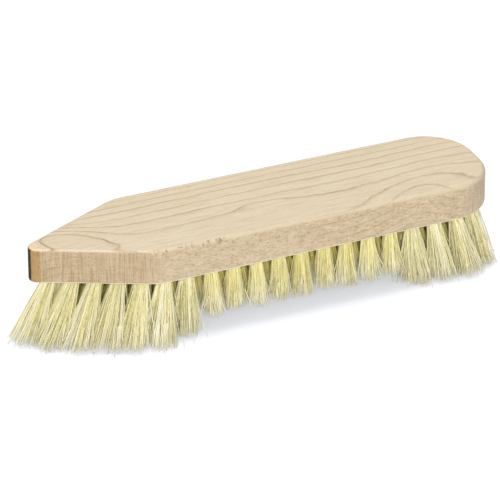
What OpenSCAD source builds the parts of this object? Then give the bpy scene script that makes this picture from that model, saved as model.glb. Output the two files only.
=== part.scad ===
// Wooden scrub brush: a flat beech block with a blunt point, filled with tufts of plant fibre.
// The end tufts are long and lean outwards as beards, and the middle tufts are short.
// Frame: +X runs along the block to its round end, +Z is up and the beards stand on Z = 0.

/* [Block] */
// Length of the block from its tip to its round end
block_l = 225; // [215:1:240]
// Width of the block
block_w = 56; // [52:1:60]
// Thickness of the block
block_t = 17; // [16:0.5:22]
// Distance from the tip to where the straight sides begin
taper_l = 57.5; // [52:0.5:62]
// Radius of the blunt nose
nose_r = 4.5; // [4:0.25:5.5]
// Radius where the oblique sides run into the straight ones
shoulder_r = 24; // [20:0.5:25]
// Corner radius of the round end
heel_r = 23.5; // [20:0.5:25]
// Rounding of the upper arris
arris_r = 2; // [1:0.25:3]
// Rounding of the lower arris
foot_arris_r = 0.8; // [0.4:0.1:1.5]

/* [Holes] */
// Diameter of the blind holes that hold the tufts
hole_d = 5.6; // [5:0.1:6]
// Depth of the holes
hole_depth = 10; // [9:0.5:12]
// Distance from the block's edge to the middle of the outer holes
edge_inset = 7; // [6.5:0.25:8]
// Least wall between an outer hole and an inner one
hole_web = 2.2; // [1.8:0.1:2.6]

/* [Tuft pattern] */
// Tufts along each oblique side, after the one at the tip
taper_tufts = 5; // [4:1:5]
// Tufts along each straight side and its half of the round end
side_tufts = 15; // [12:1:15]
// Long tufts along each side at the tip, with the one on the tip itself
tip_beard_tufts = 7; // [6:1:8]
// Long tufts along each side at the round end
heel_beard_tufts = 5; // [4:1:6]

/* [Bristles] */
// Height of the block above the floor, which the long bristles reach
beard_h = 32; // [29:0.5:36]
// Length of the short bristles below the block
short_h = 24; // [20:0.5:26]
// Outward lean of the tip tuft where it meets the floor
tip_lean = 14; // [8:0.5:16]
// Outward lean of the last tufts of the round end where they meet the floor
heel_lean = 9; // [6:0.5:12]
// Sideways spread of the beard at the tip, as a share of each tuft's distance from the middle
tip_spread = 0.85; // [0.5:0.05:0.95]
// Sideways spread of the beard at the round end, as a share of the same distance
heel_spread = 0.45; // [0.2:0.05:0.6]

/* [Strands] */
// Strands in each outer tuft
edge_strands = 6; // [5:1:6]
// Strands in each inner tuft
inner_strands = 5; // [4:1:5]
// Sides of a strand
strand_sides = 3; // [3:1:4]
// How far the strands keep inside the tuft's root where they leave the hole
strand_inset = 0.2; // [0.1:0.05:0.4]
// How far a strand moves outwards for each millimetre of its length
strand_flare = 0.09; // [0.06:0.005:0.1]
// Radius of a strand at its root, as a share of its distance from the tuft's middle
root_fill = 0.43; // [0.35:0.01:0.45]
// The same share where the strand is fullest
body_fill = 0.385; // [0.3:0.005:0.42]
// The same share at the strand's end
tip_fill = 0.2; // [0.12:0.01:0.3]
// Length of the tuft's bound root below the block
neck_l = 1.6; // [1.5:0.1:2.5]
// How far the long strands run past the floor before they are cut flat on it
floor_cut = 0.5; // [0.3:0.1:1]

/* [Wire anchors] */
// Height of the flat wire that holds a tuft, along the hole
wire_h = 2; // [1.5:0.1:2.5]
// Thickness of the flat wire
wire_t = 0.4; // [0.3:0.05:0.5]
// How far each end of the wire bites into the wood
wire_bite = 0.5; // [0.3:0.05:0.7]
// Fibre folded over the wire, between it and the bottom of the hole
wire_cover = 1.5; // [1:0.1:2]

/* [Fit] */
// Gap all round a tuft's root in its hole
tuft_gap = 0.1; // [0.05:0.05:0.2]
// Gap between the wire and its slot
wire_gap = 0.05; // [0.03:0.01:0.1]

/* [Hidden] */
wood_color = "#DCC6A2";
fibre_color = "#E4DDA4";
wire_color = "#A8ACAE";

// Steps of the block's outline circles, its arrises and the round holes and roots
outline_fn = 96;
arris_steps = 4;
hole_fn = 48;

// Most that a strand turns aside in degrees, bends as a share, and falls short in millimetres
turn_jitter = 2;
bend_jitter = 0.08;
end_jitter = 1;
// Share of a strand's length where it is fullest
fullest_share = 0.6;

// Outline of the block: one nose circle, two shoulder circles and two heel circles
nose_x = nose_r - block_l / 2;
shoulder_x = taper_l - block_l / 2;
heel_x = block_l / 2 - heel_r;
shoulder_y = block_w / 2 - shoulder_r;
heel_y = block_w / 2 - heel_r;
outline_circles = [
    [nose_x, 0, nose_r],
    [shoulder_x, shoulder_y, shoulder_r],
    [shoulder_x, -shoulder_y, shoulder_r],
    [heel_x, heel_y, heel_r],
    [heel_x, -heel_y, heel_r]
];

// Angle between an oblique side and the length of the block
taper_angle = asin((shoulder_r - nose_r) / norm([shoulder_x - nose_x, shoulder_y]))
    + atan2(shoulder_y, shoulder_x - nose_x);

// Path of the outer holes along one side, an even distance inside the outline
edge_y = block_w / 2 - edge_inset;
apex_x = nose_x + (edge_inset - nose_r) / sin(taper_angle);
shoulder_path_r = shoulder_r - edge_inset;
heel_path_r = heel_r - edge_inset;
oblique_l = (shoulder_y + shoulder_path_r * cos(taper_angle)) / sin(taper_angle);
shoulder_arc_l = shoulder_path_r * taper_angle * PI / 180;
straight_l = heel_x - shoulder_x;
heel_arc_l = heel_path_r * PI / 2;
taper_pitch = (oblique_l + shoulder_arc_l) / taper_tufts;
side_pitch = (straight_l + heel_arc_l + heel_y) / (side_tufts + 0.5);
heel_tuft_x = block_l / 2 - edge_inset;

// Inner rows lie halfway between the middle and the outer rows
inner_y = edge_y / 2;
// Cross rows that may fit ahead of the straight sides
rows_ahead = 4;

// Point of the outer path from the tip to the shoulder, at the distance s from its first hole
function taper_point(s) =
    s <= oblique_l
        ? [apex_x + s * cos(taper_angle), -s * sin(taper_angle)]
        : let (left = taper_angle - (s - oblique_l) / shoulder_path_r * 180 / PI)
            [shoulder_x - shoulder_path_r * sin(left), -shoulder_y - shoulder_path_r * cos(left)];

// Point of the outer path from the shoulder to the middle of the round end
function side_point(s) =
    s <= straight_l
        ? [shoulder_x + s, -edge_y]
        : s <= straight_l + heel_arc_l
            ? let (turned = (s - straight_l) / heel_path_r * 180 / PI)
                [heel_x + heel_path_r * sin(turned), -heel_y - heel_path_r * cos(turned)]
            : [heel_tuft_x, s - straight_l - heel_arc_l - heel_y];

// A tuft is [x, y, number, strands], with x and y at its hole's mouth
side_holes = concat(
    [for (k = [0:taper_tufts]) taper_point(k * taper_pitch)],
    [for (k = [1:side_tufts]) side_point(k * side_pitch)]
);
last_hole = len(side_holes) - 1;
edge_tufts = concat(
    [for (k = [0:last_hole]) [side_holes[k].x, side_holes[k].y, k, edge_strands]],
    [for (k = [last_hole:-1:1]) [side_holes[k].x, -side_holes[k].y, k, edge_strands]]
);

// An inner hole lies inside the outer path and leaves a wall to every outer hole
function inside_edge(x, y) = x > apex_x + abs(y) / tan(taper_angle) && x < heel_tuft_x;
function clear_of_edge(x, y) =
    min([for (t = edge_tufts) norm([t.x - x, t.y - y])]) >= hole_d + hole_web;

// Each cross row has one tuft on the middle line and a pair half a pitch further on
inner_rows = [
    for (k = [-rows_ahead:side_tufts])
        let (
            x = shoulder_x + k * side_pitch,
            places = [[x, 0], [x + side_pitch / 2, -inner_y], [x + side_pitch / 2, inner_y]],
            row = [for (p = places) if (inside_edge(p.x, p.y) && clear_of_edge(p.x, p.y)) p]
        )
        if (len(row) > 0) [for (p = row) [p.x, p.y, k, inner_strands]]
];
all_tufts = concat(edge_tufts, [for (row = inner_rows) each row]);

// Each beard begins this share of the pitch past its last outer tuft
beard_margin = 0.35;
tip_beard_x = side_holes[tip_beard_tufts - 1].x + beard_margin * side_pitch;
heel_beard_x = side_holes[last_hole + 1 - heel_beard_tufts].x - beard_margin * side_pitch;

// Lean of a tuft where it meets the floor, growing smoothly from the inner end of its beard
function clamped(v) = max(0, min(1, v));
function tip_share(x) = sin(90 * clamped((tip_beard_x - x) / (tip_beard_x - apex_x)));
function heel_share(x) = sin(90 * clamped((x - heel_beard_x) / (heel_tuft_x - heel_beard_x)));
function lean(t) = [
    heel_lean * heel_share(t.x) - tip_lean * tip_share(t.x),
    t.y * (tip_spread * tip_share(t.x) + heel_spread * heel_share(t.x))
];
function is_long(t) = t.x < tip_beard_x || t.x > heel_beard_x;

// Root of a tuft, and the ring that its strands stand in where they leave the hole
root_r = hole_d / 2 - tuft_gap;
strand_root_r = (root_r - strand_inset) / (1 + root_fill);

// Each strand is turned and bent a little in its own way, alike on both sides
function wobble(t, shift) = sin(137.5 * (t[2] + shift));
function strands(t) = [0:t[3] - 1];
function strand_angle(t, j) =
    let (even = 360 * (j + 0.5) / t[3] - 180)
        even + turn_jitter * wobble(t, 0) * sin(2 * even);
function strand_bend(t, j) = 1 + bend_jitter * wobble(t, 3) * cos(3 * strand_angle(t, j));
function short_end(t, j) =
    short_h - end_jitter * (1 + wobble(t, 5) * cos(2 * strand_angle(t, j))) / 2;

// Drop of a strand's three rings below the block, and their radii as shares of the tuft's own
function strand_end(t, j) = is_long(t) ? beard_h + floor_cut : short_end(t, j);
function strand_drops(t, j) =
    let (end = strand_end(t, j))
        [0, fullest_share * end, min(end, beard_h)];
function strand_fills(t, j) =
    let (
        drops = strand_drops(t, j),
        cut = (drops[2] - drops[1]) / (strand_end(t, j) - drops[1])
    )
        [root_fill, body_fill, body_fill + cut * (tip_fill - body_fill)];
function strand_points(t, j) =
    let (
        angle = strand_angle(t, j),
        out = [cos(angle), sin(angle)],
        drops = strand_drops(t, j),
        fills = strand_fills(t, j)
    )
        [
            for (i = [0:2], k = [0:strand_sides - 1])
                let (
                    tuft_r = strand_root_r + strand_flare * strand_bend(t, j) * drops[i],
                    turn = angle + 360 * k / strand_sides,
                    middle = [t.x, t.y] + lean(t) * drops[i] / beard_h,
                    foot = middle + tuft_r * (out + fills[i] * [cos(turn), sin(turn)])
                )
                    [foot.x, foot.y, beard_h - drops[i]]
        ];
strand_faces = let (n = strand_sides) concat(
    [for (k = [1:n - 2]) [0, k + 1, k]],
    [for (i = [0:1], k = [0:n - 1]) [n * i + k, n * i + (k + 1) % n, n * (i + 1) + (k + 1) % n]],
    [for (i = [0:1], k = [0:n - 1]) [n * i + k, n * (i + 1) + (k + 1) % n, n * (i + 1) + k]],
    [for (k = [1:n - 2]) [2 * n, 2 * n + k, 2 * n + k + 1]]
);

// The whole brush is centred on its own length, which the beards set
strand_xs = [for (t = edge_tufts, j = strands(t), p = strand_points(t, j)) p.x];
origin_x = -(min(strand_xs) + max(strand_xs)) / 2;

function two_digits(i) = str(i < 10 ? "0" : "", i);
edge_names = [for (i = [1:len(edge_tufts)]) str("edge_tuft_", two_digits(i))];
inner_names = [for (i = [1:len(inner_rows)]) str("inner_tufts_", two_digits(i))];

// Puts its children at the brush's origin
module placed() {
    translate([origin_x, 0, 0]) children();
}

// Puts its children at a hole's mouth, with +Z up the hole
module at_hole(t) {
    out = lean(t);
    tilt = atan2(norm(out), beard_h);
    translate([t.x, t.y, beard_h])
        rotate([0, -tilt, atan2(out.y, out.x)])
            children();
}

// Quarter arc of a rounded arris, as [inset, height] from its sharp corner
function arris(r) = [
    for (i = [0:arris_steps])
        let (turned = 90 * i / arris_steps)
            r * [1 - cos(turned), 1 - sin(turned)]
];

// One round corner of the block, with both arrises
module corner_puck(r) {
    upper = [for (p = arris(arris_r)) [r - p.x, block_t - p.y]];
    lower = [for (p = arris(foot_arris_r)) [r - p.x, p.y]];
    lower_out = [for (i = [arris_steps:-1:0]) lower[i]];
    rotate_extrude($fn = outline_fn)
        polygon(concat([[0, 0]], lower_out, upper, [[0, block_t]]));
}

// The block before it is drilled
module block_body() {
    translate([0, 0, beard_h])
        hull()
            for (c = outline_circles)
                translate([c.x, c.y, 0])
                    corner_puck(c.z);
}

// Space of one blind hole, open below the block
module hole() {
    translate([0, 0, -hole_d / 2])
        cylinder(d = hole_d, h = hole_d / 2 + hole_depth, $fn = hole_fn);
}

// Flat wire across a hole, grown by a gap on every side
module wire(gap) {
    across = hole_d + 2 * wire_bite + 2 * gap;
    top = hole_depth - wire_cover + gap;
    translate([-across / 2, -wire_t / 2 - gap, top - wire_h - 2 * gap])
        cube([across, wire_t + 2 * gap, wire_h + 2 * gap]);
}

module block() {
    color(wood_color)
        difference() {
            block_body();
            for (t = all_tufts)
                at_hole(t) {
                    hole();
                    wire(wire_gap);
                }
        }
}

module wire_anchors() {
    color(wire_color)
        for (t = all_tufts)
            at_hole(t) wire(0);
}

// Root of a tuft, bound in its hole, with its short neck below the block
module tuft_root() {
    translate([0, 0, -neck_l])
        cylinder(r = root_r, h = neck_l + hole_depth - tuft_gap, $fn = hole_fn);
}

module tuft(t) {
    color(fibre_color)
        difference() {
            union() {
                at_hole(t) tuft_root();
                for (j = strands(t))
                    polyhedron(strand_points(t, j), strand_faces);
            }
            at_hole(t) wire(wire_gap);
        }
}

module inner_tufts(row) {
    for (t = row) tuft(t);
}

placed() block();
placed() wire_anchors();
for (i = [0:len(edge_tufts) - 1])
    placed() tuft(edge_tufts[i]);
for (i = [0:len(inner_rows) - 1])
    placed() inner_tufts(inner_rows[i]);
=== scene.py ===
"""A wooden scrub brush: a flat beech block filled with tufts of plant fibre.

Shapes are worked out in millimetres, in the block's own frame: X runs from the middle of the
block to its round end, Y across it, and Z is the height above the floor. They become metres in
the shared frame when a piece is made.
"""

from typing import NamedTuple

import bmesh
import bpy
import numpy as np
from mathutils import Matrix, Vector


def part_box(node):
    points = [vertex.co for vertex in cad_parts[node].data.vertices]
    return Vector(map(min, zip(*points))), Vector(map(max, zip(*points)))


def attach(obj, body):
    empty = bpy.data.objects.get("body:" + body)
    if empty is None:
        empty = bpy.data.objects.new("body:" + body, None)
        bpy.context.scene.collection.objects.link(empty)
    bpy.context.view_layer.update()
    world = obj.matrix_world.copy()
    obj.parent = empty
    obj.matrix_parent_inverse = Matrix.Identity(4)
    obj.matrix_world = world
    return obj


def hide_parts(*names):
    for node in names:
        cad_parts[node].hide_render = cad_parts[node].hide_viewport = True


MM = 0.001
SEED = 7
FULL_TURN = 2 * np.pi
QUARTER_TURN = np.pi / 2

# Sizes of the block and of its holes, as in the part's source
BLOCK_L = 225.0
BLOCK_W = 56.0
BLOCK_T = 17.0
TAPER_L = 57.5
NOSE_R = 4.5
SHOULDER_R = 24.0
HEEL_R = 23.5
FOOT_ARRIS_R = 0.8
HOLE_D = 5.6
HOLE_DEPTH = 10.0
EDGE_INSET = 7.0
HOLE_WEB = 2.2

# Tuft pattern and beards, as in the part's source
TAPER_TUFTS = 5
SIDE_TUFTS = 15
TAPER_ROWS = 4
TIP_BEARD_TUFTS = 7
HEEL_BEARD_TUFTS = 5
BEARD_MARGIN = 0.35
BEARD_H = 32.0
SHORT_H = 24.0
TIP_LEAN = 14.0
HEEL_LEAN = 9.0
TIP_SPREAD = 0.85
HEEL_SPREAD = 0.45

TOP_Z = BEARD_H + BLOCK_T

# Camera: where it looks from, and where the middle of the block falls in the picture
AZIMUTH = 24.04
ELEVATION = 28.68
CAMERA_DISTANCE = 1880.7
FOCAL_PX = 4086.6
PICTURE_PX = 500
BLOCK_PX = (256.79, 215.01)
SENSOR_MM = 36.0
CLIP_END_M = 50


# Outline of the block


def direction(angle):
    """Unit vectors in the plane, at angles in radians."""
    return np.stack([np.cos(angle), np.sin(angle)], -1)


def outline_angle():
    """Angle between an oblique side and the length of the block, in degrees."""
    run = TAPER_L - NOSE_R
    rise = BLOCK_W / 2 - SHOULDER_R
    turn = np.arcsin((SHOULDER_R - NOSE_R) / np.hypot(run, rise))
    return np.degrees(turn + np.arctan2(rise, run))


TAPER_ANGLE = outline_angle()
NOSE_X = NOSE_R - BLOCK_L / 2
SHOULDER_X = TAPER_L - BLOCK_L / 2
SHOULDER_Y = BLOCK_W / 2 - SHOULDER_R
HEEL_X = BLOCK_L / 2 - HEEL_R
HEEL_Y = BLOCK_W / 2 - HEEL_R

# Corners of the outline, from the far shoulder round the nose: middle, radius, first and last
# degree of the arc
CORNERS = (
    ((SHOULDER_X, SHOULDER_Y), SHOULDER_R, 90, 90 + TAPER_ANGLE),
    ((NOSE_X, 0), NOSE_R, 90 + TAPER_ANGLE, 270 - TAPER_ANGLE),
    ((SHOULDER_X, -SHOULDER_Y), SHOULDER_R, 270 - TAPER_ANGLE, 270),
    ((HEEL_X, -HEEL_Y), HEEL_R, 270, 360),
    ((HEEL_X, HEEL_Y), HEEL_R, 360, 450),
)
LEAST_ARC_STEPS = 4


def outline(step):
    """Points round the block's widest outline, about step apart, and their outward normals."""
    points, normals = [], []
    for i, (centre, radius, start, end) in enumerate(CORNERS):
        count = max(LEAST_ARC_STEPS, round(radius * np.radians(end - start) / step))
        arc = direction(np.radians(np.linspace(start, end, count + 1)))
        points.append(np.array(centre) + radius * arc)
        normals.append(arc)
        next_centre, next_radius = CORNERS[(i + 1) % len(CORNERS)][:2]
        first = points[-1][-1]
        last = np.array(next_centre) + next_radius * arc[-1]
        count = max(1, round(np.linalg.norm(last - first) / step))
        shares = np.arange(1, count)[:, None] / count
        points.append(first + shares * (last - first))
        normals.append(np.repeat(arc[-1:], len(shares), axis=0))
    return np.concatenate(points), np.concatenate(normals)


# Pattern of the holes. The edge row keeps one inset inside the outline: along the oblique side,
# round the shoulder, along the straight side and round the heel.

TAPER_TURN = np.radians(TAPER_ANGLE)
TAPER_SINE = np.sin(TAPER_TURN)
TAPER_COSINE = np.cos(TAPER_TURN)
APEX_X = NOSE_X + (EDGE_INSET - NOSE_R) / TAPER_SINE
HEEL_TUFT_X = BLOCK_L / 2 - EDGE_INSET
EDGE_ROW_Y = BLOCK_W / 2 - EDGE_INSET
SHOULDER_ROW_R = SHOULDER_R - EDGE_INSET
HEEL_ROW_R = HEEL_R - EDGE_INSET
OBLIQUE_ROW_L = (SHOULDER_Y + SHOULDER_ROW_R * TAPER_COSINE) / TAPER_SINE
STRAIGHT_ROW_L = HEEL_X - SHOULDER_X
HEEL_ROW_L = HEEL_ROW_R * QUARTER_TURN

# The near row and its mirror image end half a pitch from the heel's middle line
TAPER_PITCH = (OBLIQUE_ROW_L + SHOULDER_ROW_R * TAPER_TURN) / TAPER_TUFTS
SIDE_PITCH = (STRAIGHT_ROW_L + HEEL_ROW_L + HEEL_Y) / (SIDE_TUFTS + 0.5)


def taper_point(s):
    """The near edge row's point at a length s from its tip, up to the straight side."""
    if s <= OBLIQUE_ROW_L:
        return APEX_X + s * TAPER_COSINE, -s * TAPER_SINE
    left = TAPER_TURN - (s - OBLIQUE_ROW_L) / SHOULDER_ROW_R
    return SHOULDER_X - SHOULDER_ROW_R * np.sin(left), -SHOULDER_Y - SHOULDER_ROW_R * np.cos(left)


def side_point(s):
    """The near edge row's point at a length s from the start of the straight side."""
    if s <= STRAIGHT_ROW_L:
        return SHOULDER_X + s, -EDGE_ROW_Y
    if s <= STRAIGHT_ROW_L + HEEL_ROW_L:
        turned = (s - STRAIGHT_ROW_L) / HEEL_ROW_R
        return HEEL_X + HEEL_ROW_R * np.sin(turned), -HEEL_Y - HEEL_ROW_R * np.cos(turned)
    return HEEL_TUFT_X, s - STRAIGHT_ROW_L - HEEL_ROW_L - HEEL_Y


NEAR_HOLES = [taper_point(k * TAPER_PITCH) for k in range(TAPER_TUFTS + 1)]
NEAR_HOLES += [side_point(k * SIDE_PITCH) for k in range(1, SIDE_TUFTS + 1)]
EDGE_HOLES = NEAR_HOLES + [(x, -y) for x, y in NEAR_HOLES[:0:-1]]
TIP_BEARD_X = NEAR_HOLES[TIP_BEARD_TUFTS - 1][0] + BEARD_MARGIN * SIDE_PITCH
HEEL_BEARD_X = NEAR_HOLES[-HEEL_BEARD_TUFTS][0] - BEARD_MARGIN * SIDE_PITCH


def is_clear(x, y):
    """Whether a hole there lies inside the edge row, with enough wood to each hole of it."""
    inside = APEX_X + abs(y) * TAPER_COSINE / TAPER_SINE < x < HEEL_TUFT_X
    nearest = min(np.hypot(x - a, y - b) for a, b in EDGE_HOLES)
    return inside and nearest >= HOLE_D + HOLE_WEB


def inner_rows():
    """Mouths of the holes inside the edge row, a list for each row across the block."""
    rows = []
    for k in range(-TAPER_ROWS, SIDE_TUFTS + 1):
        x = SHOULDER_X + k * SIDE_PITCH
        ahead = x + SIDE_PITCH / 2
        places = [(x, 0.0), (ahead, -EDGE_ROW_Y / 2), (ahead, EDGE_ROW_Y / 2)]
        row = [place for place in places if is_clear(*place)]
        if row:
            rows.append(row)
    return rows


# Mouths of the blind holes for each CAD node
HOLES = {f"edge_tuft_{i:02d}": [place] for i, place in enumerate(EDGE_HOLES, 1)}
HOLES.update({f"inner_tufts_{i:02d}": row for i, row in enumerate(inner_rows(), 1)})


def ease(share):
    """Rises from 0 to 1 as the share does, quickly at first and level at the end."""
    return np.sin(QUARTER_TURN * np.clip(share, 0, 1))


def lean(x, y):
    """How far a tuft has moved sideways by the time that it reaches the floor."""
    tip = ease((TIP_BEARD_X - x) / (TIP_BEARD_X - APEX_X))
    heel = ease((x - HEEL_BEARD_X) / (HEEL_TUFT_X - HEEL_BEARD_X))
    return np.array([HEEL_LEAN * heel - TIP_LEAN * tip, y * (TIP_SPREAD * tip + HEEL_SPREAD * heel)])


def is_long(x):
    """Whether the tuft there belongs to one of the two beards."""
    return x < TIP_BEARD_X or x > HEEL_BEARD_X


# Meshes


def new_piece(name, verts, faces, material, smooth=True):
    """A mesh object from points in millimetres in the block's frame."""
    mesh = bpy.data.meshes.new(name)
    mesh.from_pydata((np.asarray(verts) + [ORIGIN_X, 0, 0]) * MM, [], faces)
    mesh.materials.append(material)
    if smooth:
        mesh.shade_smooth()
    piece = bpy.data.objects.new(name, mesh)
    bpy.context.scene.collection.objects.link(piece)
    return piece


def put_attribute(piece, name, values):
    """Stores one number for each point of a piece, for its material to read."""
    attribute = piece.data.attributes.new(name, "FLOAT", "POINT")
    attribute.data.foreach_set("value", np.asarray(values, np.float32))


def apply_modifiers(piece):
    """Turns a piece's modifiers into its mesh."""
    depsgraph = bpy.context.evaluated_depsgraph_get()
    mesh = bpy.data.meshes.new_from_object(piece.evaluated_get(depsgraph))
    piece.modifiers.clear()
    piece.data = mesh


# Block

OUTLINE_STEP = 0.45
WALL_ROWS = 12
UPPER_ARRIS_STEPS = 8
LOWER_ARRIS_STEPS = 4
CAP_INSET = 0.8
HOLE_SIDES = 24
SHARP_ANGLE = 40

# How far the cutter of a hole stands out of its mouth
CUTTER_OUT = HOLE_D / 2

# Radius of the top arris, which was sanded less at the point than at the round end
ARRIS_PLACES = (-75.0, -45.0, 60.0, 105.0)
ARRIS_RADII = (1.3, 1.8, 2.0, 2.5)

# Chips along the near top arris: how far along the block, half width, depth
CHIPS = (
    (-62.5, 0.9, 0.35),
    (-59.5, 1.2, 0.6),
    (-56.0, 0.6, 0.3),
    (-51.5, 0.7, 0.3),
    (-46.4, 0.8, 0.6),
    (-43.2, 0.7, 0.55),
    (-40.5, 0.6, 0.35),
    (-38.0, 0.9, 0.6),
    (-34.5, 0.6, 0.3),
    (-31.0, 0.9, 0.7),
    (-12.0, 0.6, 0.25),
    (24.0, 0.7, 0.25),
    (63.0, 0.6, 0.25),
)

# A chip's middle below the top and its half height, in radii of the arris, and the share of
# its depth that the surface also drops
CHIP_MIDDLE = 0.6
CHIP_HALF_H = 0.7
CHIP_DROP = 0.5


def block_rows(arris):
    """Insets and heights of the wall from the underside to the top: a row each, for all points."""
    lower = np.linspace(0, QUARTER_TURN, LOWER_ARRIS_STEPS + 1)
    upper = np.linspace(0, QUARTER_TURN, UPPER_ARRIS_STEPS + 1)
    ones = np.ones(len(arris))
    rows = [((FOOT_ARRIS_R + CAP_INSET) * ones, 0 * ones)]
    for a in lower:
        rows.append((FOOT_ARRIS_R * (1 - np.sin(a)) * ones, FOOT_ARRIS_R * (1 - np.cos(a)) * ones))
    for share in np.arange(1, WALL_ROWS) / WALL_ROWS:
        rows.append((0 * ones, FOOT_ARRIS_R + share * (BLOCK_T - arris - FOOT_ARRIS_R)))
    for a in upper:
        rows.append((arris * (1 - np.cos(a)), BLOCK_T - arris * (1 - np.sin(a))))
    rows.append((arris + CAP_INSET, BLOCK_T * ones))
    return rows


def chip_depth(points, height, arris):
    """How deep the chips cut into the wall at points of the outline."""
    off_middle = (height - BLOCK_T + CHIP_MIDDLE * arris) / (CHIP_HALF_H * arris)
    depth = np.zeros(len(points))
    for x, half_width, deepest in CHIPS:
        near_it = np.clip(1 - np.abs(points[:, 0] - x) / half_width, 0, 1)
        depth += deepest * np.sqrt(near_it) * (points[:, 1] < 0)
    return depth * np.exp(-(off_middle**2))


def make_block(material):
    """The block, with rounded arrises, chips and blind holes."""
    points, normals = outline(OUTLINE_STEP)
    arris = np.interp(points[:, 0], ARRIS_PLACES, ARRIS_RADII)
    count = len(points)
    rows = block_rows(arris)
    verts = []
    for inset, height in rows:
        chip = chip_depth(points, height, arris)
        ring = points - normals * (inset + chip)[:, None]
        verts.append(np.column_stack([ring, BEARD_H + height - CHIP_DROP * chip]))
    faces = [tuple(range(count))[::-1]]
    for row in range(len(rows) - 1):
        a = row * count
        b = a + count
        for i in range(count):
            j = (i + 1) % count
            faces.append((a + i, a + j, b + j, b + i))
    top = (len(rows) - 1) * count
    faces.append(tuple(range(top, top + count)))
    block = new_piece("beech_block", np.concatenate(verts), faces, material)
    drill(block)
    return block


def add_cutter(cutters, x, y):
    """A cylinder for the hole with its mouth there, tilted along its tuft."""
    out = lean(x, y)
    axis = Vector((-out[0], -out[1], BEARD_H)).normalized()
    middle = Vector((x, y, BEARD_H)) + axis * (HOLE_DEPTH - CUTTER_OUT) / 2
    middle.x += ORIGIN_X
    turn = axis.to_track_quat("Z", "Y").to_matrix().to_4x4()
    bmesh.ops.create_cone(
        cutters,
        cap_ends=True,
        segments=HOLE_SIDES,
        radius1=HOLE_D / 2 * MM,
        radius2=HOLE_D / 2 * MM,
        depth=(HOLE_DEPTH + CUTTER_OUT) * MM,
        matrix=Matrix.Translation(middle * MM) @ turn,
    )


def drill(block):
    """Cuts the blind holes into the block."""
    cutters = bmesh.new()
    for places in HOLES.values():
        for x, y in places:
            add_cutter(cutters, x, y)
    mesh = bpy.data.meshes.new("hole_cutters")
    cutters.to_mesh(mesh)
    cutters.free()
    cutter = bpy.data.objects.new("hole_cutters", mesh)
    bpy.context.scene.collection.objects.link(cutter)
    cut = block.modifiers.new("holes", "BOOLEAN")
    cut.object = cutter
    cut.operation = "DIFFERENCE"
    cut.solver = "EXACT"
    apply_modifiers(block)
    bpy.data.objects.remove(cutter)
    block.data.shade_smooth()
    block.data.set_sharp_from_angle(angle=np.radians(SHARP_ANGLE))


# Tufts


class Kind(NamedTuple):
    """What all tufts of one length have in common. Lengths are in millimetres."""

    fibres: int  # how many each tuft has
    reach: float  # how far it runs below the block
    overrun: float  # how far its longest fibres pass that
    ragged: float  # how unevenly its fibres end
    sideways: float  # how far their ends stray sideways
    core_end: float  # where its core ends, as a share of the reach
    shade_tint: float  # how strongly its roots take the painted shade tint


LONG = Kind(
    fibres=270, reach=BEARD_H, overrun=0.0, ragged=1.0, sideways=1.5, core_end=0.8, shade_tint=0.15
)
SHORT = Kind(
    fibres=190, reach=SHORT_H, overrun=1.2, ragged=0.35, sideways=0.5, core_end=0.88, shade_tint=0.5
)
# Inner tufts lie in shade and take the full painted shade tint
INNER_SHADE_TINT = 1.0

# How far a tuft's middle line runs along and across the block for each millimetre down, as a
# share of the lean of its hole and besides it
TIP_LEAN_SHARE = 0.9
HEEL_LEAN_SHARE = 0.55
TIP_SLOPE = (-0.04, 0.0)
HEEL_SLOPE = (0.065, 0.0)
SHORT_SLOPE = (0.05, 0.0)
INNER_SLOPE = (0.11, -0.02)

# How much wider a tuft is at its end than in its hole, less 1. In the tip beard it is given for
# the apex, for a place ahead of the beard's edge, and for that edge.
TIP_FANS = (1.75, 1.6, 0.9)
TIP_FAN_AHEAD = 12.0
HEEL_FANS = (1.35, 0.85)
SHORT_FAN = 0.72
INNER_FAN = 1.15

# The share of that widening that comes early, near the hole
EARLY_FAN = 0.25

# Share of bent fibres, which is high where tufts have come loose at the ends of the arch
LOOSE_TUFTS = ("edge_tuft_17", "edge_tuft_08", "edge_tuft_07")
LOOSE_STRAYS = 0.3
STRAYS = 0.07


def slope_besides(x, inner):
    """How much a tuft slopes besides the lean of its hole."""
    if not is_long(x):
        return INNER_SLOPE if inner else SHORT_SLOPE
    return TIP_SLOPE if x < 0 else HEEL_SLOPE


def fan_at(x, inner):
    """How much wider than its hole a tuft is at its end, less 1."""
    if not is_long(x):
        return INNER_FAN if inner else SHORT_FAN
    if x < 0:
        return np.interp(x, (APEX_X, TIP_BEARD_X - TIP_FAN_AHEAD, TIP_BEARD_X), TIP_FANS)
    return np.interp(x, (HEEL_BEARD_X, HEEL_TUFT_X), HEEL_FANS)


class Tuft:
    """Where one tuft stands, how it slopes and how it fans out."""

    def __init__(self, x, y, inner, loose):
        lean_share = TIP_LEAN_SHARE if x < 0 else HEEL_LEAN_SHARE
        self.kind = LONG if is_long(x) else SHORT
        self.mouth = np.array([x, y])
        self.slope = lean_share * lean(x, y) / BEARD_H + slope_besides(x, inner)
        self.fan = fan_at(x, inner)
        self.strays = LOOSE_STRAYS if loose else STRAYS
        self.shade_tint = INNER_SHADE_TINT if inner else self.kind.shade_tint

    def middle(self, drop):
        """The tuft's middle line at some depth below the block."""
        return self.mouth + self.slope * drop[..., None]

    def width(self, drop):
        """How much wider the tuft is there than in its hole."""
        share = np.maximum(drop, 0) / self.kind.reach
        return 1 + self.fan * ((1 - EARLY_FAN) * share + EARLY_FAN * np.sqrt(share))


def tube_faces(rings, sides):
    """Faces of a closed tube whose points run ring by ring."""
    following = (np.arange(sides) + 1) % sides
    faces = []
    for ring in range(rings - 1):
        a = ring * sides
        b = a + sides
        faces += [(a + i, b + i, b + following[i], a + following[i]) for i in range(sides)]
    last = (rings - 1) * sides
    faces += [tuple(range(sides)), tuple(range(last, last + sides))[::-1]]
    return faces


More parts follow.
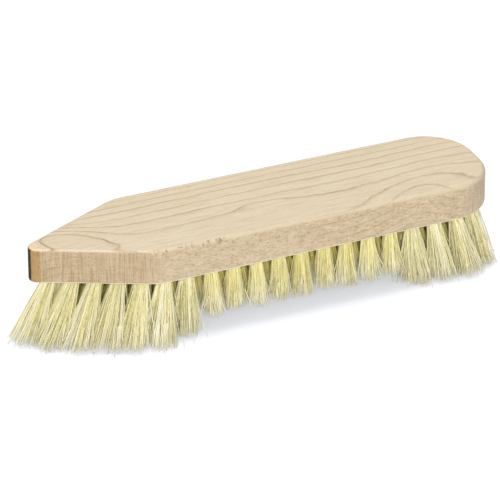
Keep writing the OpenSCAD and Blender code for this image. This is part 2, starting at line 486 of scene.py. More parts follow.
# Fibres start sunk in the hole and all end a little above the floor
ROOT_R = 2.5
SUNK = 2.0
FLOOR_GAP = 0.2

# The core fills a tuft behind its outer fibres. It is a share of the tuft's width, fluted and
# rough, drawn in at its end, and darker than most fibres.
CORE_SIDES = 20
CORE_RINGS = 10
CORE_SHARE = 0.76
CORE_FLUTES = 0.09
CORE_ROUGHNESS = 0.03
CORE_DRAWN_IN = 0.8
CORE_DRAWN_IN_POWER = 6
CORE_TINT = 0.1
CORE_TINT_SPAN = 0.32


def core(tuft, rng):
    """The fluted body inside a tuft: points, faces, tints and places along it."""
    shares = np.linspace(0, 1, CORE_RINGS)
    drop = -SUNK + shares * (tuft.kind.core_end * tuft.kind.reach + SUNK)
    flutes = 1 + CORE_FLUTES * rng.standard_normal(CORE_SIDES)
    rough = 1 + CORE_ROUGHNESS * rng.standard_normal((CORE_RINGS, CORE_SIDES))
    closing = 1 - CORE_DRAWN_IN * shares**CORE_DRAWN_IN_POWER
    radius = (CORE_SHARE * ROOT_R * tuft.width(drop) * closing)[:, None] * flutes * rough
    around = direction(np.arange(CORE_SIDES) * FULL_TURN / CORE_SIDES)
    ring = tuft.middle(drop)[:, None, :] + around * radius[..., None]
    level = np.repeat(BEARD_H - drop, CORE_SIDES)
    verts = np.column_stack([ring.reshape(-1, 2), level])
    tint = np.tile(CORE_TINT + CORE_TINT_SPAN * rng.random(CORE_SIDES), CORE_RINGS)
    along = np.repeat(shares * tuft.kind.core_end, CORE_SIDES)
    return verts, tube_faces(CORE_RINGS, CORE_SIDES), tint, along


# A fibre's mesh: its radius, the least share of it that a fibre has and how much more it may
# have, and how it thins out towards its end
FIBRE_SIDES = 4
FIBRE_RINGS = 6
FIBRE_R = 0.2
FIBRE_LEAST = 0.7
FIBRE_SPAN = 0.9
FIBRE_TAPER = 0.4
FIBRE_TAPER_POWER = 3

# Inner fibres show only below the core, so they start at a share of the reach, and they stray
# sideways less. The roots of the outer ones stand round the rim of the hole.
INNER_SHARE = 0.3
INNER_START = 0.6
INNER_CALM = 0.4
OUTER_ROOT = 0.8
OUTER_ROOT_SPAN = 0.26

# Fibres part into locks: how far they turn to the middle of their lock, and how much the locks
# differ in place, width, length and tint
LOCKS = 13
LOCK_PULL = 0.3
LOCK_SHIFT = 0.7
LOCK_FAN = 0.16
LOCK_SHORTFALL = 1.4
LOCK_TINT_SHARE = 0.4

# What a fibre does on its own: how it fans, bends and waves, and how far short it ends. Each
# tuft has a shortfall of its own too, and broken fibres have one more.
FIBRE_FAN = 0.12
FIBRE_BEND = 0.7
STRAY_BEND = 2.2
WAVE = 0.1
WAVE_TURN = 7
FIBRE_SHORTFALL = 0.9
TUFT_SHORTFALL = 1.6
BROKEN_SHARE = 0.12
BROKEN_SHORTFALL = 3.5


def fibres(tuft, rng):
    """The fibres of a tuft: points, faces, tints and places along each fibre."""
    kind = tuft.kind
    count = kind.fibres
    inner = np.arange(count) < INNER_SHARE * count

    # Where each fibre leaves the hole
    inner_root = np.sqrt(rng.random(count))
    outer_root = OUTER_ROOT + OUTER_ROOT_SPAN * rng.random(count)
    root = ROOT_R * np.where(inner, inner_root, outer_root)
    turn = rng.random(count) * FULL_TURN

    # The lock that it leans to at its end
    lock = np.floor(turn / FULL_TURN * LOCKS).astype(int)
    to_lock = (lock + rng.random(LOCKS)[lock]) * FULL_TURN / LOCKS - turn
    lock_shift = LOCK_SHIFT * rng.standard_normal((LOCKS, 2))[lock]
    lock_fan = 1 + LOCK_FAN * rng.standard_normal(LOCKS)[lock]
    lock_shortfall = LOCK_SHORTFALL * rng.random(LOCKS)[lock]
    lock_tint = rng.random(LOCKS)[lock]

    # What it does on its own
    stray = rng.random(count) < tuft.strays
    fan = lock_fan * (1 + FIBRE_FAN * rng.standard_normal(count))
    aside = rng.standard_normal((count, 2)) * kind.sideways * (1 - INNER_CALM * inner)[:, None]
    own_bend = rng.standard_normal((count, 2)) * np.where(stray, STRAY_BEND, FIBRE_BEND)[:, None]
    bend = own_bend + lock_shift
    wave = WAVE * rng.standard_normal((count, 2))
    phase = rng.random(count) * FULL_TURN
    short_by = FIBRE_SHORTFALL * np.abs(rng.standard_normal(count)) + lock_shortfall
    short_by = kind.ragged * short_by + TUFT_SHORTFALL * rng.random()
    broken = rng.random(count) < BROKEN_SHARE
    short_by += broken * BROKEN_SHORTFALL * rng.random(count)

    # The middle line of each, ring by ring
    end = np.minimum(kind.reach + kind.overrun - short_by, BEARD_H - FLOOR_GAP)
    start = np.where(inner, INNER_START * kind.reach, -SUNK)
    shares = np.linspace(0, 1, FIBRE_RINGS)
    drop = start[:, None] + shares * (end - start)[:, None]
    below = drop.clip(0) / kind.reach
    angle = turn[:, None] + LOCK_PULL * to_lock[:, None] * below
    spread = root[:, None] * (1 + (tuft.width(drop) - 1) * fan[:, None])
    centre = np.empty((count, FIBRE_RINGS, 3))
    centre[..., :2] = (
        tuft.middle(drop)
        + direction(angle) * spread[..., None]
        + aside[:, None, :] * below[..., None]
        + bend[:, None, :] * (below**2)[..., None]
        + wave[:, None, :] * np.sin(below[..., None] * WAVE_TURN + phase[:, None, None])
    )
    centre[..., 2] = BEARD_H - drop

    # Squared, because most fibres are thin
    girth = FIBRE_R * (FIBRE_LEAST + FIBRE_SPAN * rng.random(count) ** 2)
    radius = girth[:, None] * (1 - FIBRE_TAPER * shares**FIBRE_TAPER_POWER)
    verts, faces = thin_tubes(centre, radius)
    tint = LOCK_TINT_SHARE * lock_tint + (1 - LOCK_TINT_SHARE) * rng.random(count)
    along = (drop / kind.reach).clip(0, 1).reshape(-1)
    return verts, faces, np.repeat(tint, FIBRE_RINGS * FIBRE_SIDES), np.repeat(along, FIBRE_SIDES)


def thin_tubes(centre, radius):
    """Points and faces of tubes round many middle lines, with level rings."""
    around = direction(np.arange(FIBRE_SIDES) * FULL_TURN / FIBRE_SIDES)
    circle = np.column_stack([around, np.zeros(FIBRE_SIDES)])
    verts = (centre[:, :, None, :] + radius[:, :, None, None] * circle).reshape(-1, 3)
    one = tube_faces(FIBRE_RINGS, FIBRE_SIDES)
    firsts = range(0, len(verts), FIBRE_RINGS * FIBRE_SIDES)
    faces = [tuple(v + first for v in face) for first in firsts for face in one]
    return verts, faces


def make_tufts(node, places, rng, material):
    """All the cores and fibres that stand for one CAD node."""
    verts, faces, tints, alongs, shade_tints = [], [], [], [], []
    for x, y in places:
        tuft = Tuft(x, y, node.startswith("inner"), node in LOOSE_TUFTS)
        for points, quads, tint, along in (core(tuft, rng), fibres(tuft, rng)):
            first = sum(map(len, verts))
            verts.append(points)
            faces += [tuple(v + first for v in quad) for quad in quads]
            tints.append(tint)
            alongs.append(along)
            shade_tints.append(np.full(len(points), tuft.shade_tint))
    piece = new_piece("fibres_" + node, np.concatenate(verts), faces, material)
    put_attribute(piece, "tint", np.concatenate(tints))
    put_attribute(piece, "along", np.concatenate(alongs))
    put_attribute(piece, "shade_tint", np.concatenate(shade_tints))
    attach(piece, "root")
    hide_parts(node)


# Shader nodes


def linear(hex_colour):
    """A colour such as #E0CEAE as the linear numbers that shaders take."""
    parts = [int(hex_colour[i : i + 2], 16) / 255 for i in (1, 3, 5)]
    return (*[p / 12.92 if p <= 0.04045 else ((p + 0.055) / 1.055) ** 2.4 for p in parts], 1)


class Grain(NamedTuple):
    """Noise that leaves marks: its scale on each axis, octaves and roughness, and the levels of it
    at which a mark starts and is full."""

    per_mm: tuple
    octaves: float
    roughness: float
    start: float
    full: float


class Nodes:
    """Short calls for the nodes of a tree. A value may be a socket or a constant."""

    def __init__(self, tree):
        self.tree = tree
        self.tree.nodes.clear()

    def node(self, kind, **settings):
        """A new node with some of its settings."""
        made = self.tree.nodes.new(kind)
        for key, value in settings.items():
            setattr(made, key, value)
        return made

    def link(self, source, socket):
        """Joins a socket to another one, or gives it a constant of its own."""
        if isinstance(source, bpy.types.NodeSocket):
            self.tree.links.new(source, socket)
        else:
            socket.default_value = source

    def math(self, operation, *values, clamp=False):
        """One step of arithmetic."""
        made = self.node("ShaderNodeMath", operation=operation, use_clamp=clamp)
        for value, socket in zip(values, made.inputs):
            self.link(value, socket)
        return made.outputs[0]

    def total(self, *values):
        """All the values added up."""
        result = values[0]
        for value in values[1:]:
            result = self.math("ADD", result, value)
        return result

    def product(self, *values):
        """All the values multiplied."""
        result = values[0]
        for value in values[1:]:
            result = self.math("MULTIPLY", result, value)
        return result

    def smooth(self, value, low, high):
        """0 below low, 1 above high, and smooth between. Low may be the greater one."""
        made = self.node("ShaderNodeMapRange", interpolation_type="SMOOTHSTEP")
        for source, socket in zip((value, low, high), made.inputs):
            self.link(source, socket)
        return made.outputs[0]

    def band(self, value, rise, fall):
        """1 between two smooth steps, each from its first level to its second."""
        return self.product(self.smooth(value, *rise), self.smooth(value, *fall))

    def mix(self, factor, first, second):
        """The first colour at 0 and the second at 1."""
        # The node has sockets for other kinds of data before those of its colours
        made = self.node("ShaderNodeMix", data_type="RGBA")
        self.link(factor, made.inputs[0])
        self.link(first, made.inputs[6])
        self.link(second, made.inputs[7])
        return made.outputs[2]

    def paint(self, colour, coat, *shares):
        """Lays a coat, which is a colour and its strength, over the parts that the shares give."""
        hex_colour, strength = coat
        return self.mix(self.product(*shares, strength), colour, linear(hex_colour))

    def ramp(self, value, stops):
        """Maps a value through pairs of a position and a grey level or a colour."""
        made = self.node("ShaderNodeValToRGB")
        self.link(value, made.inputs[0])
        ramp = made.color_ramp
        while len(ramp.elements) < len(stops):
            ramp.elements.new(0.5)
        for element, (position, level) in zip(ramp.elements, stops):
            element.position = position
            element.color = linear(level) if isinstance(level, str) else (level, level, level, 1)
        return made.outputs[0]

    def noise(self, vector, per_mm, octaves=2.0, roughness=0.5):
        """Noise about 0, from about -0.5 to 0.5, at one scale an axis."""
        stretched = self.node("ShaderNodeVectorMath", operation="MULTIPLY")
        self.link(vector, stretched.inputs[0])
        self.link(per_mm, stretched.inputs[1])
        made = self.node("ShaderNodeTexNoise")
        self.link(stretched.outputs[0], made.inputs["Vector"])
        self.link(1.0, made.inputs["Scale"])
        self.link(octaves, made.inputs["Detail"])
        self.link(roughness, made.inputs["Roughness"])
        return self.math("SUBTRACT", made.outputs[0], 0.5)

    def marks(self, vector, grain):
        """Where a grain leaves its marks, from 0 to 1."""
        noise = self.noise(vector, grain.per_mm, grain.octaves, grain.roughness)
        return self.smooth(noise, grain.start, grain.full)

    def attribute(self, name):
        """A number that put_attribute stored."""
        return self.node("ShaderNodeAttribute", attribute_name=name).outputs["Fac"]

    def position_mm(self):
        """The point in millimetres in the block's frame, as a vector and its three parts."""
        place = self.node("ShaderNodeTexCoord")
        scaled = self.node("ShaderNodeVectorMath", operation="MULTIPLY_ADD")
        self.link(place.outputs["Object"], scaled.inputs[0])
        self.link((1 / MM, 1 / MM, 1 / MM), scaled.inputs[1])
        self.link((-ORIGIN_X, 0, 0), scaled.inputs[2])
        parts = self.node("ShaderNodeSeparateXYZ")
        self.link(scaled.outputs[0], parts.inputs[0])
        return scaled.outputs[0], *parts.outputs

    def normal(self):
        """The three parts of the surface's normal."""
        geometry = self.node("ShaderNodeNewGeometry")
        parts = self.node("ShaderNodeSeparateXYZ")
        self.link(geometry.outputs["Normal"], parts.inputs[0])
        return tuple(parts.outputs)


class Shader(Nodes):
    """A material with one Principled surface."""

    def __init__(self, name):
        self.material = bpy.data.materials.new(name)
        self.material.use_nodes = True
        super().__init__(self.material.node_tree)
        self.bsdf = self.node("ShaderNodeBsdfPrincipled")
        output = self.node("ShaderNodeOutputMaterial")
        self.link(self.bsdf.outputs["BSDF"], output.inputs["Surface"])

    def surface(self, settings):
        """Sets the surface's inputs by their names."""
        for name, value in settings.items():
            self.link(value, self.bsdf.inputs[name])

    def bump(self, height, distance_mm, strength):
        """Small relief that doesn't show in the outline."""
        made = self.node("ShaderNodeBump")
        self.link(strength, made.inputs["Strength"])
        self.link(distance_mm * MM, made.inputs["Distance"])
        self.link(height, made.inputs["Height"])
        self.link(made.outputs[0], self.bsdf.inputs["Normal"])


# Beech


class Hollow(NamedTuple):
    """An oval dip that the growth rings bend round, turned by some degrees."""

    middle: tuple
    half_lengths: tuple
    turned: float
    height: float


# Growth rings are the level lines of a surface, one ring apart. It rises ever more steeply from
# the near side, falls by a ring for each RING_DEPTH of wood, has three hollows, and is uneven by
# some rings at three scales.
SLOPE_Y = -30.0
SLOPE_WIDTH = 30.0
SLOPE_RINGS = 1.8
RING_DEPTH = 4.2
UNEVEN = (((0.008, 0.03, 0.03), 0.6), ((0.04, 0.12, 0.12), 0.3), ((0.13, 0.35, 0.35), 0.3))
TIP_HOLLOW = Hollow((-97.2, 2.2), (22.3, 11.6), -32.2, -2.9)
MIDDLE_HOLLOW = Hollow((0.8, -4.7), (16.0, 3.6), -6.0, -0.62)
HEEL_HOLLOW = Hollow((56.6, -50.0), (41.4, 16.2), 52.2, -3.0)
RING_START = 1.08

# How dark a ring is from its start to its end
RING_PROFILE = ((0.0, 0.2), (0.05, 0.0), (0.75, 0.03), (0.89, 0.4), (0.95, 1.0), (1.0, 0.4))

# Rings fade in and out, are strongest in the tip's hollow, and are missing from a plain zone
# on the near half
RING_STRENGTH = Grain((0.015, 0.1, 0.1), 2.0, 0.5, -0.25, 0.3)
FAINTEST_RING = 0.5
TIP_HOLLOW_EDGE = (-0.5, -1.0)
TIP_RING_STRENGTH = 1.5
PLAIN_X = ((-70.0, -62.0), (30.0, 5.0))
PLAIN_Y = (-2.0, -20.0)

# Marks along the grain, and cut ends of them on the oblique and round ends
BROAD_PER_MM = (0.012, 0.09, 0.09)
FINE_PER_MM = (0.4, 2.2, 2.2)
FINE_OCTAVES = 3.0
FINE_ROUGHNESS = 0.7
FINE_ON_FACE = (-0.1, 0.4)
FINE_ON_WALL = (-0.1, 0.3)
STREAKS = Grain((0.05, 1.1, 1.1), 3.0, 0.65, -0.1, 0.35)
BLOTCHES = Grain((0.22, 0.45, 0.45), 3.0, 0.6, -0.15, 0.2)
FLECKS = Grain((0.35, 1.6, 1.5), 3.0, 0.75, 0.05, 0.2)
FLECKS_ON_FACE = 0.08
FLECKS_ON_WALL = 0.52
BANDS = Grain((0.5, 0.5, 0.05), 4.0, 0.85, 0.02, 0.28)
SPECKS = Grain((0.8, 0.8, 1.5), 2.0, 0.6, 0.09, 0.2)
CUT_STREAKS = Grain((1.6, 1.6, 0.05), 3.0, 0.7, -0.08, 0.22)
CUT_LEVELS = Grain((0.1, 0.1, 1.2), 2.0, 0.6, 0.0, 0.25)
CUT_PORES = Grain((1.6, 1.6, 1.6), 2.0, 0.5, 0.06, 0.2)
CHIP_DIRT = Grain((0.55, 0.3, 0.3), 2.0, 0.5, 0.05, 0.13)
NOSE_MOTTLES = Grain((0.9, 0.9, 0.5), 3.0, 0.7, 0.0, 0.3)

# Parts of the block by place, in millimetres, and by the surface's normal. A pair is where a
# smooth step starts and is full, and two pairs are a band.
WALL_NZ = (0.8, 0.3)
CUT_NX = (0.12, 0.45)
FOOT_NZ = ((-0.12, -0.4), (-0.98, -0.85))
ARRIS_NZ = ((0.1, 0.35), (0.985, 0.9))
ARRIS_Y = (0.0, -1.0)
ARRIS_SHADE_X = (-66.0, -60.0)
DIRTY_X = (ARRIS_SHADE_X, (-22.0, -30.0))
ROUND_END_X = (90.0, 105.0)
NOSE_FACE_X = (-108.4, -109.0)
NOSE_RIM_X = (-107.0, -109.0)
NOSE_RIM_NZ = (0.2, 0.4)
SHADED_BURNT_NX = (-0.5, -0.6)
SHADED_BURNT_NY = ((-0.5, -0.3), (0.9, 0.6))

# How evenly the painted shade and the burn darken the end of the nose
SHADE_AND_BURN_PER_MM = (0.8, 0.8, 0.5)
SHADE_AND_BURN_UNEVEN = 0.5
SHADE_AND_BURN_LEVEL = 0.92

# Colours of the wood, and coats over them: a colour and how strongly it is laid on
PALE_WOOD = "#E3D6BE"
WARM_WOOD = "#DBC9AC"
# The walls are darker than the top, partly for their pores and partly as painted shade
PALE_WALL = "#CFBD9B"
WARM_WALL = "#C1AC89"
LATE_WOOD_COAT = ("#9A7B52", 0.85)
STREAK_COAT = ("#CAB592", 1.0)
FINE_COAT = ("#BFA67C", 0.5)
WALL_LATE_WOOD_COAT = ("#A0825A", 0.6)
WALL_FINE_COAT = ("#9C8059", 0.6)
WALL_STRENGTH = 0.85
FLECK_COAT = ("#84683F", 1.0)
BAND_COAT = ("#A3845D", 0.7)
SPECK_COAT = ("#836540", 0.5)
# Cut faces: darker end grain, with painted shade that darkens the oblique sides
CUT_GRAIN_AND_SHADE_COAT = ("#C2AB89", 0.55)
# Painted light: the walls of the round end are made paler
ROUND_END_LIGHT_COAT = ("#E3D2B6", 0.5)
CUT_STREAK_COAT = ("#9C805A", 0.85)
CUT_LEVEL_COAT = ("#A9865E", 0.4)
CUT_PORE_COAT = ("#7F5F3B", 0.45)
# Painted highlight along the foot arris
FOOT_HIGHLIGHT_COAT = ("#FBEFD3", 0.8)
# Painted shade on the near top arris, so that it shows no pale line
ARRIS_SHADE_COAT = ("#C4B498", 0.55)
DIRT_COAT = ("#665236", 0.5)
NOSE_RIM_COAT = ("#F0D3A8", 0.5)
NOSE_COAT = ("#B08C54", 0.85)
NOSE_MOTTLE_COAT = ("#6E4E24", 0.9)
# Nearly black painted shade, with a burn, on the nose's end where it turns away from the lamps
SHADE_AND_BURN_COAT = ("#1C1208", 1.0)

# Gloss and relief: late wood, pores and cut ends lie a little lower
BEECH_ROUGHNESS = 0.62
SHADE_AND_BURN_ROUGHER = 0.3
BEECH_SPECULAR = 0.3
RELIEF_MM = 0.12
RELIEF_STRENGTH = 0.6
RELIEF_LATE_WOOD = -0.3
RELIEF_FINE = 0.5
RELIEF_FLECKS = -1.2
RELIEF_CUT_STREAKS = -0.5


class Beech(Shader):
    """Bare sanded beech: growth rings, pores, end grain, marks of use, and painted light and shade."""

    def __init__(self):
        super().__init__("beech")
        self.point, self.x, self.y, self.z = self.position_mm()
        self.nx, self.ny, self.nz = self.normal()
        self.wall = self.smooth(self.nz, *WALL_NZ)
        self.cut = self.product(self.smooth(self.math("ABSOLUTE", self.nx), *CUT_NX), self.wall)
        self.late_wood = self.growth_rings()
        self.fine = self.noise(self.point, FINE_PER_MM, FINE_OCTAVES, FINE_ROUGHNESS)
        fleck_share = self.math("MULTIPLY_ADD", self.wall, FLECKS_ON_WALL, FLECKS_ON_FACE)
        self.flecks = self.product(self.marks(self.point, FLECKS), fleck_share)
        self.cut_streaks = self.product(self.cut, self.marks(self.point, CUT_STREAKS))
        self.shade_and_burn = self.shaded_burnt_face()

        wood = self.nose(self.arrises(self.walls(self.face())))
        relief = self.total(
            self.product(self.late_wood, RELIEF_LATE_WOOD),
            self.product(self.fine, RELIEF_FINE),
            self.product(self.flecks, RELIEF_FLECKS),
            self.product(self.cut_streaks, RELIEF_CUT_STREAKS),
        )
        self.bump(relief, RELIEF_MM, RELIEF_STRENGTH)
        self.surface(
            {
                "Base Color": wood,
                "Roughness": self.math("MULTIPLY_ADD", self.shade_and_burn, SHADE_AND_BURN_ROUGHER, BEECH_ROUGHNESS),
                "Specular IOR Level": BEECH_SPECULAR,
            }
        )

    def hollow(self, hollow):
        """The height of a hollow at each point: its own in the middle and 0 far off."""
        turned = np.radians(hollow.turned)
        cosine = np.cos(turned)
        sine = np.sin(turned)
        half_along, half_across = hollow.half_lengths
        x = self.math("SUBTRACT", self.x, hollow.middle[0])
        y = self.math("SUBTRACT", self.y, hollow.middle[1])
        along = self.total(self.product(x, cosine / half_along), self.product(y, sine / half_along))
        across = self.total(
            self.product(x, -sine / half_across), self.product(y, cosine / half_across)
        )
        squares = self.total(self.product(along, along), self.product(across, across))
        return self.product(self.math("EXPONENT", self.product(squares, -1)), hollow.height)

    def growth_rings(self):
        """How dark the late wood of the growth rings is."""
        across = self.math("DIVIDE", self.math("SUBTRACT", self.y, SLOPE_Y), SLOPE_WIDTH)
        slope = self.product(across, across, SLOPE_RINGS)
        depth = self.math("DIVIDE", self.math("SUBTRACT", self.z, TOP_Z), RING_DEPTH)
        uneven = [self.product(self.noise(self.point, per_mm), rings) for per_mm, rings in UNEVEN]
        tip_hollow = self.hollow(TIP_HOLLOW)
        hollows = (tip_hollow, self.hollow(MIDDLE_HOLLOW), self.hollow(HEEL_HOLLOW))
        rings = self.total(slope, depth, *uneven, *hollows, RING_START)
        late_wood = self.ramp(self.math("FRACT", rings), RING_PROFILE)

        near_tip = self.product(self.smooth(tip_hollow, *TIP_HOLLOW_EDGE), TIP_RING_STRENGTH)
        strength = self.math("MAXIMUM", self.marks(self.point, RING_STRENGTH), near_tip)
        strength = self.math("MULTIPLY_ADD", strength, 1 - FAINTEST_RING, FAINTEST_RING)
        plain = self.product(self.band(self.x, *PLAIN_X), self.smooth(self.y, *PLAIN_Y))
        return self.product(late_wood, strength, self.math("SUBTRACT", 1.0, plain))

    def shaded_burnt_face(self):
        """Where painted shade and a burn darken the flat end of the nose, short of its near corner."""
        faces_tip = self.smooth(self.nx, *SHADED_BURNT_NX)
        return self.product(faces_tip, self.wall, self.band(self.ny, *SHADED_BURNT_NY))

    def face(self):
        """The colour of the sanded top."""
        broad = self.math("ADD", self.noise(self.point, BROAD_PER_MM), 0.5)
        wood = self.mix(broad, linear(PALE_WOOD), linear(WARM_WOOD))
        wood = self.paint(wood, LATE_WOOD_COAT, self.late_wood)
        wood = self.paint(wood, STREAK_COAT, self.marks(self.point, STREAKS))
        return self.paint(wood, FINE_COAT, self.smooth(self.fine, *FINE_ON_FACE))

    def walls(self, wood):
        """Darker walls, partly for their pores and partly as painted shade; end grain where they cut
        across the grain, with painted shade on the oblique sides; and painted light on the round end.
        """
        blotches = self.marks(self.point, BLOTCHES)
        tone = self.mix(blotches, linear(PALE_WALL), linear(WARM_WALL))
        tone = self.paint(tone, WALL_LATE_WOOD_COAT, self.late_wood)
        tone = self.paint(tone, WALL_FINE_COAT, self.smooth(self.fine, *FINE_ON_WALL))
        # Walls darker than the top: pores, and painted shade
        wood = self.mix(self.product(self.wall, WALL_STRENGTH), wood, tone)
        wood = self.paint(wood, FLECK_COAT, self.flecks)
        wood = self.paint(wood, BAND_COAT, self.marks(self.point, BANDS), self.wall)
        wood = self.paint(wood, SPECK_COAT, self.marks(self.point, SPECKS), self.wall)
        # End grain and painted shade on the cut faces
        wood = self.paint(wood, CUT_GRAIN_AND_SHADE_COAT, self.cut)
        # Painted light on the walls of the round end
        wood = self.paint(wood, ROUND_END_LIGHT_COAT, self.smooth(self.x, *ROUND_END_X), self.wall)
        wood = self.paint(wood, CUT_STREAK_COAT, self.cut_streaks)
        wood = self.paint(wood, CUT_LEVEL_COAT, self.cut, self.marks(self.point, CUT_LEVELS))
        return self.paint(wood, CUT_PORE_COAT, self.cut, self.marks(self.point, CUT_PORES))

    def arrises(self, wood):
        """A painted highlight on the foot arris, and painted shade on the near top arris, which has
        dirt in its chips.
        """
        # Painted highlight on the foot arris
        wood = self.paint(wood, FOOT_HIGHLIGHT_COAT, self.band(self.nz, *FOOT_NZ))
        arris = self.product(self.band(self.nz, *ARRIS_NZ), self.smooth(self.y, *ARRIS_Y))
        # Painted shade on the near top arris
        wood = self.paint(wood, ARRIS_SHADE_COAT, arris, self.smooth(self.x, *ARRIS_SHADE_X))
        dirt = self.marks(self.point, CHIP_DIRT)
        return self.paint(wood, DIRT_COAT, arris, self.band(self.x, *DIRTY_X), dirt)

    def nose(self, wood):
        """Full end grain on the blunt nose, under a paler arris, and painted shade with a burn on its
        flat end.
        """
        face = self.product(self.smooth(self.x, *NOSE_FACE_X), self.wall)
        rim = self.product(self.smooth(self.x, *NOSE_RIM_X), self.smooth(self.nz, *NOSE_RIM_NZ))
        wood = self.paint(wood, NOSE_RIM_COAT, rim)
        wood = self.paint(wood, NOSE_COAT, face)
        wood = self.paint(wood, NOSE_MOTTLE_COAT, face, self.marks(self.point, NOSE_MOTTLES))
        # Painted shade and burn on the nose's flat end, uneven in strength
        uneven = self.noise(self.point, SHADE_AND_BURN_PER_MM)
        shade_and_burn_strength = self.math("MULTIPLY_ADD", uneven, SHADE_AND_BURN_UNEVEN, SHADE_AND_BURN_LEVEL, clamp=True)
        return self.paint(wood, SHADE_AND_BURN_COAT, self.shade_and_burn, shade_and_burn_strength)


# Plant fibre and wire

FIBRE_COLOURS = (
    (0.0, "#9F9453"),
    (0.25, "#DDD498"),
    (0.52, "#F8F1CA"),
    (0.8, "#FAF5D9"),
    (1.0, "#FAF8EC"),
)
FIBRE_STREAK_PER_MM = (1.6, 1.6, 0.45)
FIBRE_STREAK_OCTAVES = 3.0
FIBRE_STREAK_ROUGHNESS = 0.6
FIBRE_STREAK_STRENGTH = 0.9
FIBRE_MOTTLES = Grain((0.8, 0.8, 0.25), 2.0, 0.5, -0.1, 0.3)
FIBRE_MOTTLE_COAT = ("#E2D9A2", 0.25)
# Painted shade tint: a deep olive yellow on the roots and the inner tufts, which lie in the shade
# between tufts
FIBRE_SHADE_TINT_COAT = ("#EDE070", 0.9)
FIBRE_TIP_COAT = ("#FFFCEA", 0.25)
FIBRE_SHEEN_COLOUR = "#FFF6D2"

# Shares of a fibre's length where its painted shade tint, from the root, and its tip colour start and
# are full
SHADE_TINT_ALONG = (1.0, 0.3)
TIP_ALONG = (0.75, 1.0)

WIRE_DRAWN_PER_MM = (6.0, 6.0, 0.4)
DARK_WIRE = "#8F9496"
PALE_WIRE = "#C2C6C8"
WIRE_ROUGHNESS = 0.35
WIRE_UNEVEN = 0.2


def plant_fibre():
    """Pale stiff plant fibre, each one of its own tint."""
    s = Shader("plant_fibre")
    point = s.position_mm()[0]
    along = s.attribute("along")
    streak = s.noise(point, FIBRE_STREAK_PER_MM, FIBRE_STREAK_OCTAVES, FIBRE_STREAK_ROUGHNESS)
    tint = s.math("MULTIPLY_ADD", streak, FIBRE_STREAK_STRENGTH, s.attribute("tint"), clamp=True)
    colour = s.ramp(tint, FIBRE_COLOURS)
    colour = s.paint(colour, FIBRE_MOTTLE_COAT, s.marks(point, FIBRE_MOTTLES))
    # Painted shade tint on the roots and the inner tufts
    colour = s.paint(colour, FIBRE_SHADE_TINT_COAT, s.smooth(along, *SHADE_TINT_ALONG), s.attribute("shade_tint"))
    colour = s.paint(colour, FIBRE_TIP_COAT, s.smooth(along, *TIP_ALONG))
    s.surface(
        {
            "Base Color": colour,
            "Roughness": 0.6,
            "Specular IOR Level": 0.2,
            "Sheen Weight": 0.5,
            "Sheen Roughness": 0.4,
            "Sheen Tint": linear(FIBRE_SHEEN_COLOUR),
        }
    )
    return s.material


def flat_wire():
    """Drawn steel of the flat wire anchors."""
    s = Shader("flat_wire")
    drawn = s.noise(s.position_mm()[0], WIRE_DRAWN_PER_MM)
    colour = s.mix(s.math("ADD", drawn, 0.5), linear(DARK_WIRE), linear(PALE_WIRE))
    roughness = s.math("MULTIPLY_ADD", drawn, WIRE_UNEVEN, WIRE_ROUGHNESS)
    s.surface({"Base Color": colour, "Metallic": 1.0, "Roughness": roughness})
    return s.material


# Stage

FLOOR_SIZE = 12000.0
FLOOR_COLOUR = "#E9EDF9"
FLOOR_GLOW = 0.31
WHITE = (1, 1, 1, 1)
WORLD_LIGHT = (0.98, 0.98, 0.98, 1)
WORLD_STRENGTH = 0.38

# Lamps: place and width in metres, and watts
FRONT_LAMP = ((-1.17, -2.92, 1.5), 1.35, 81)
TOP_LAMP = ((0.0, 0.12, 2.05), 0.8, 18.5)


def make_floor():
    """A white floor that keeps the soft shadow."""
    half = FLOOR_SIZE / 2
    corners = [(-half, -half, 0), (half, -half, 0), (half, half, 0), (-half, half, 0)]
    s = Shader("floor")
    seen = s.node("ShaderNodeLightPath").outputs["Is Camera Ray"]
    s.surface(
        {
            "Base Color": linear(FLOOR_COLOUR),
            "Roughness": 0.9,
            "Specular IOR Level": 0.0,
            "Emission Color": WHITE,
            "Emission Strength": s.product(seen, FLOOR_GLOW),
        }
    )
    floor = new_piece("floor", corners, [(0, 1, 2, 3)], s.material, smooth=False)


def make_world():
    """Plain grey light that the camera, metal and glass see as white."""
    world = bpy.data.worlds.new("studio")
    world.use_nodes = True
    w = Nodes(world.node_tree)
    light = w.node("ShaderNodeBackground")
    w.link(WORLD_LIGHT, light.inputs["Color"])
    w.link(WORLD_STRENGTH, light.inputs["Strength"])
    white = w.node("ShaderNodeBackground")
    w.link(WHITE, white.inputs["Color"])
    w.link(1.0, white.inputs["Strength"])
    rays = w.node("ShaderNodeLightPath").outputs
    in_metal_or_glass = w.math("MAXIMUM", rays["Is Glossy Ray"], rays["Is Transmission Ray"])
    seen = w.math("MAXIMUM", rays["Is Camera Ray"], in_metal_or_glass)
    mix = w.node("ShaderNodeMixShader")
    w.link(seen, mix.inputs[0])
    w.link(light.outputs[0], mix.inputs[1])
    w.link(white.outputs[0], mix.inputs[2])
    w.link(mix.outputs[0], w.node("ShaderNodeOutputWorld").inputs[0])
    bpy.context.scene.world = world


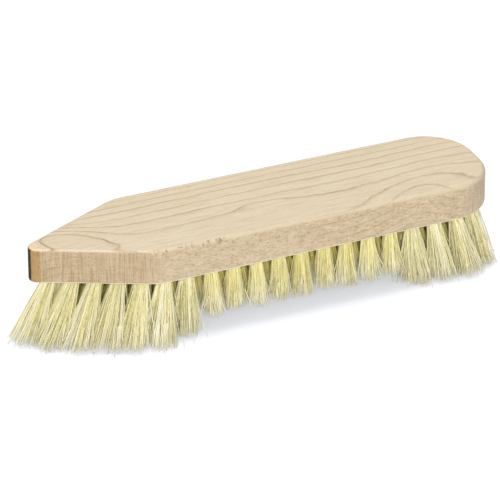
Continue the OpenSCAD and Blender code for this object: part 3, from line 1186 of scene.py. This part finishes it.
def make_lamp(name, place, width, watts):
    """A square soft light that looks at the middle of the brush."""
    data = bpy.data.lights.new(name, "AREA")
    data.size = width
    data.energy = watts
    lamp = bpy.data.objects.new(name, data)
    lamp.location = Vector(place)
    lamp.rotation_euler = (-lamp.location).to_track_quat("-Z", "Y").to_euler()
    bpy.context.scene.collection.objects.link(lamp)


def make_camera():
    """A long lens, placed so that the block falls where it does in the photograph."""
    azimuth = np.radians(AZIMUTH)
    elevation = np.radians(ELEVATION)
    level = np.cos(elevation)
    forward = Vector((np.sin(azimuth) * level, np.cos(azimuth) * level, -np.sin(elevation)))
    data = bpy.data.cameras.new("camera")
    data.sensor_width = SENSOR_MM
    data.lens = FOCAL_PX / PICTURE_PX * SENSOR_MM
    data.shift_x = 0.5 - BLOCK_PX[0] / PICTURE_PX
    data.shift_y = BLOCK_PX[1] / PICTURE_PX - 0.5
    data.clip_end = CLIP_END_M
    camera = bpy.data.objects.new("camera", data)
    middle = Vector((ORIGIN_X, 0, BEARD_H + BLOCK_T / 2))
    camera.location = (middle - forward * CAMERA_DISTANCE) * MM
    camera.rotation_euler = forward.to_track_quat("-Z", "Y").to_euler()
    bpy.context.scene.collection.objects.link(camera)
    bpy.context.scene.camera = camera


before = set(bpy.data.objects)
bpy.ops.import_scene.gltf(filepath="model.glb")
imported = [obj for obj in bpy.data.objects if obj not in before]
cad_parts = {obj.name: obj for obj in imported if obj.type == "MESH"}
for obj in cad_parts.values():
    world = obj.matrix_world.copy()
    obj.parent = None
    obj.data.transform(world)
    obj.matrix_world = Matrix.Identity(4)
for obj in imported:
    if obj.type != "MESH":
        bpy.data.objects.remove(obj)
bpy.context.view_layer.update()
ORIGIN_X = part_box("block")[0].x / MM + BLOCK_L / 2

make_camera()
make_world()
make_floor()
make_lamp("front", *FRONT_LAMP)
make_lamp("top", *TOP_LAMP)

block = make_block(Beech().material)
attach(block, "root")
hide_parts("block")

fibre_material = plant_fibre()
for number, (node, places) in enumerate(HOLES.items()):
    make_tufts(node, places, np.random.default_rng(SEED + number), fibre_material)

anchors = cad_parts["wire_anchors"]
anchors.data.materials.clear()
anchors.data.materials.append(flat_wire())

bpy.context.scene.view_settings.view_transform = "Standard"
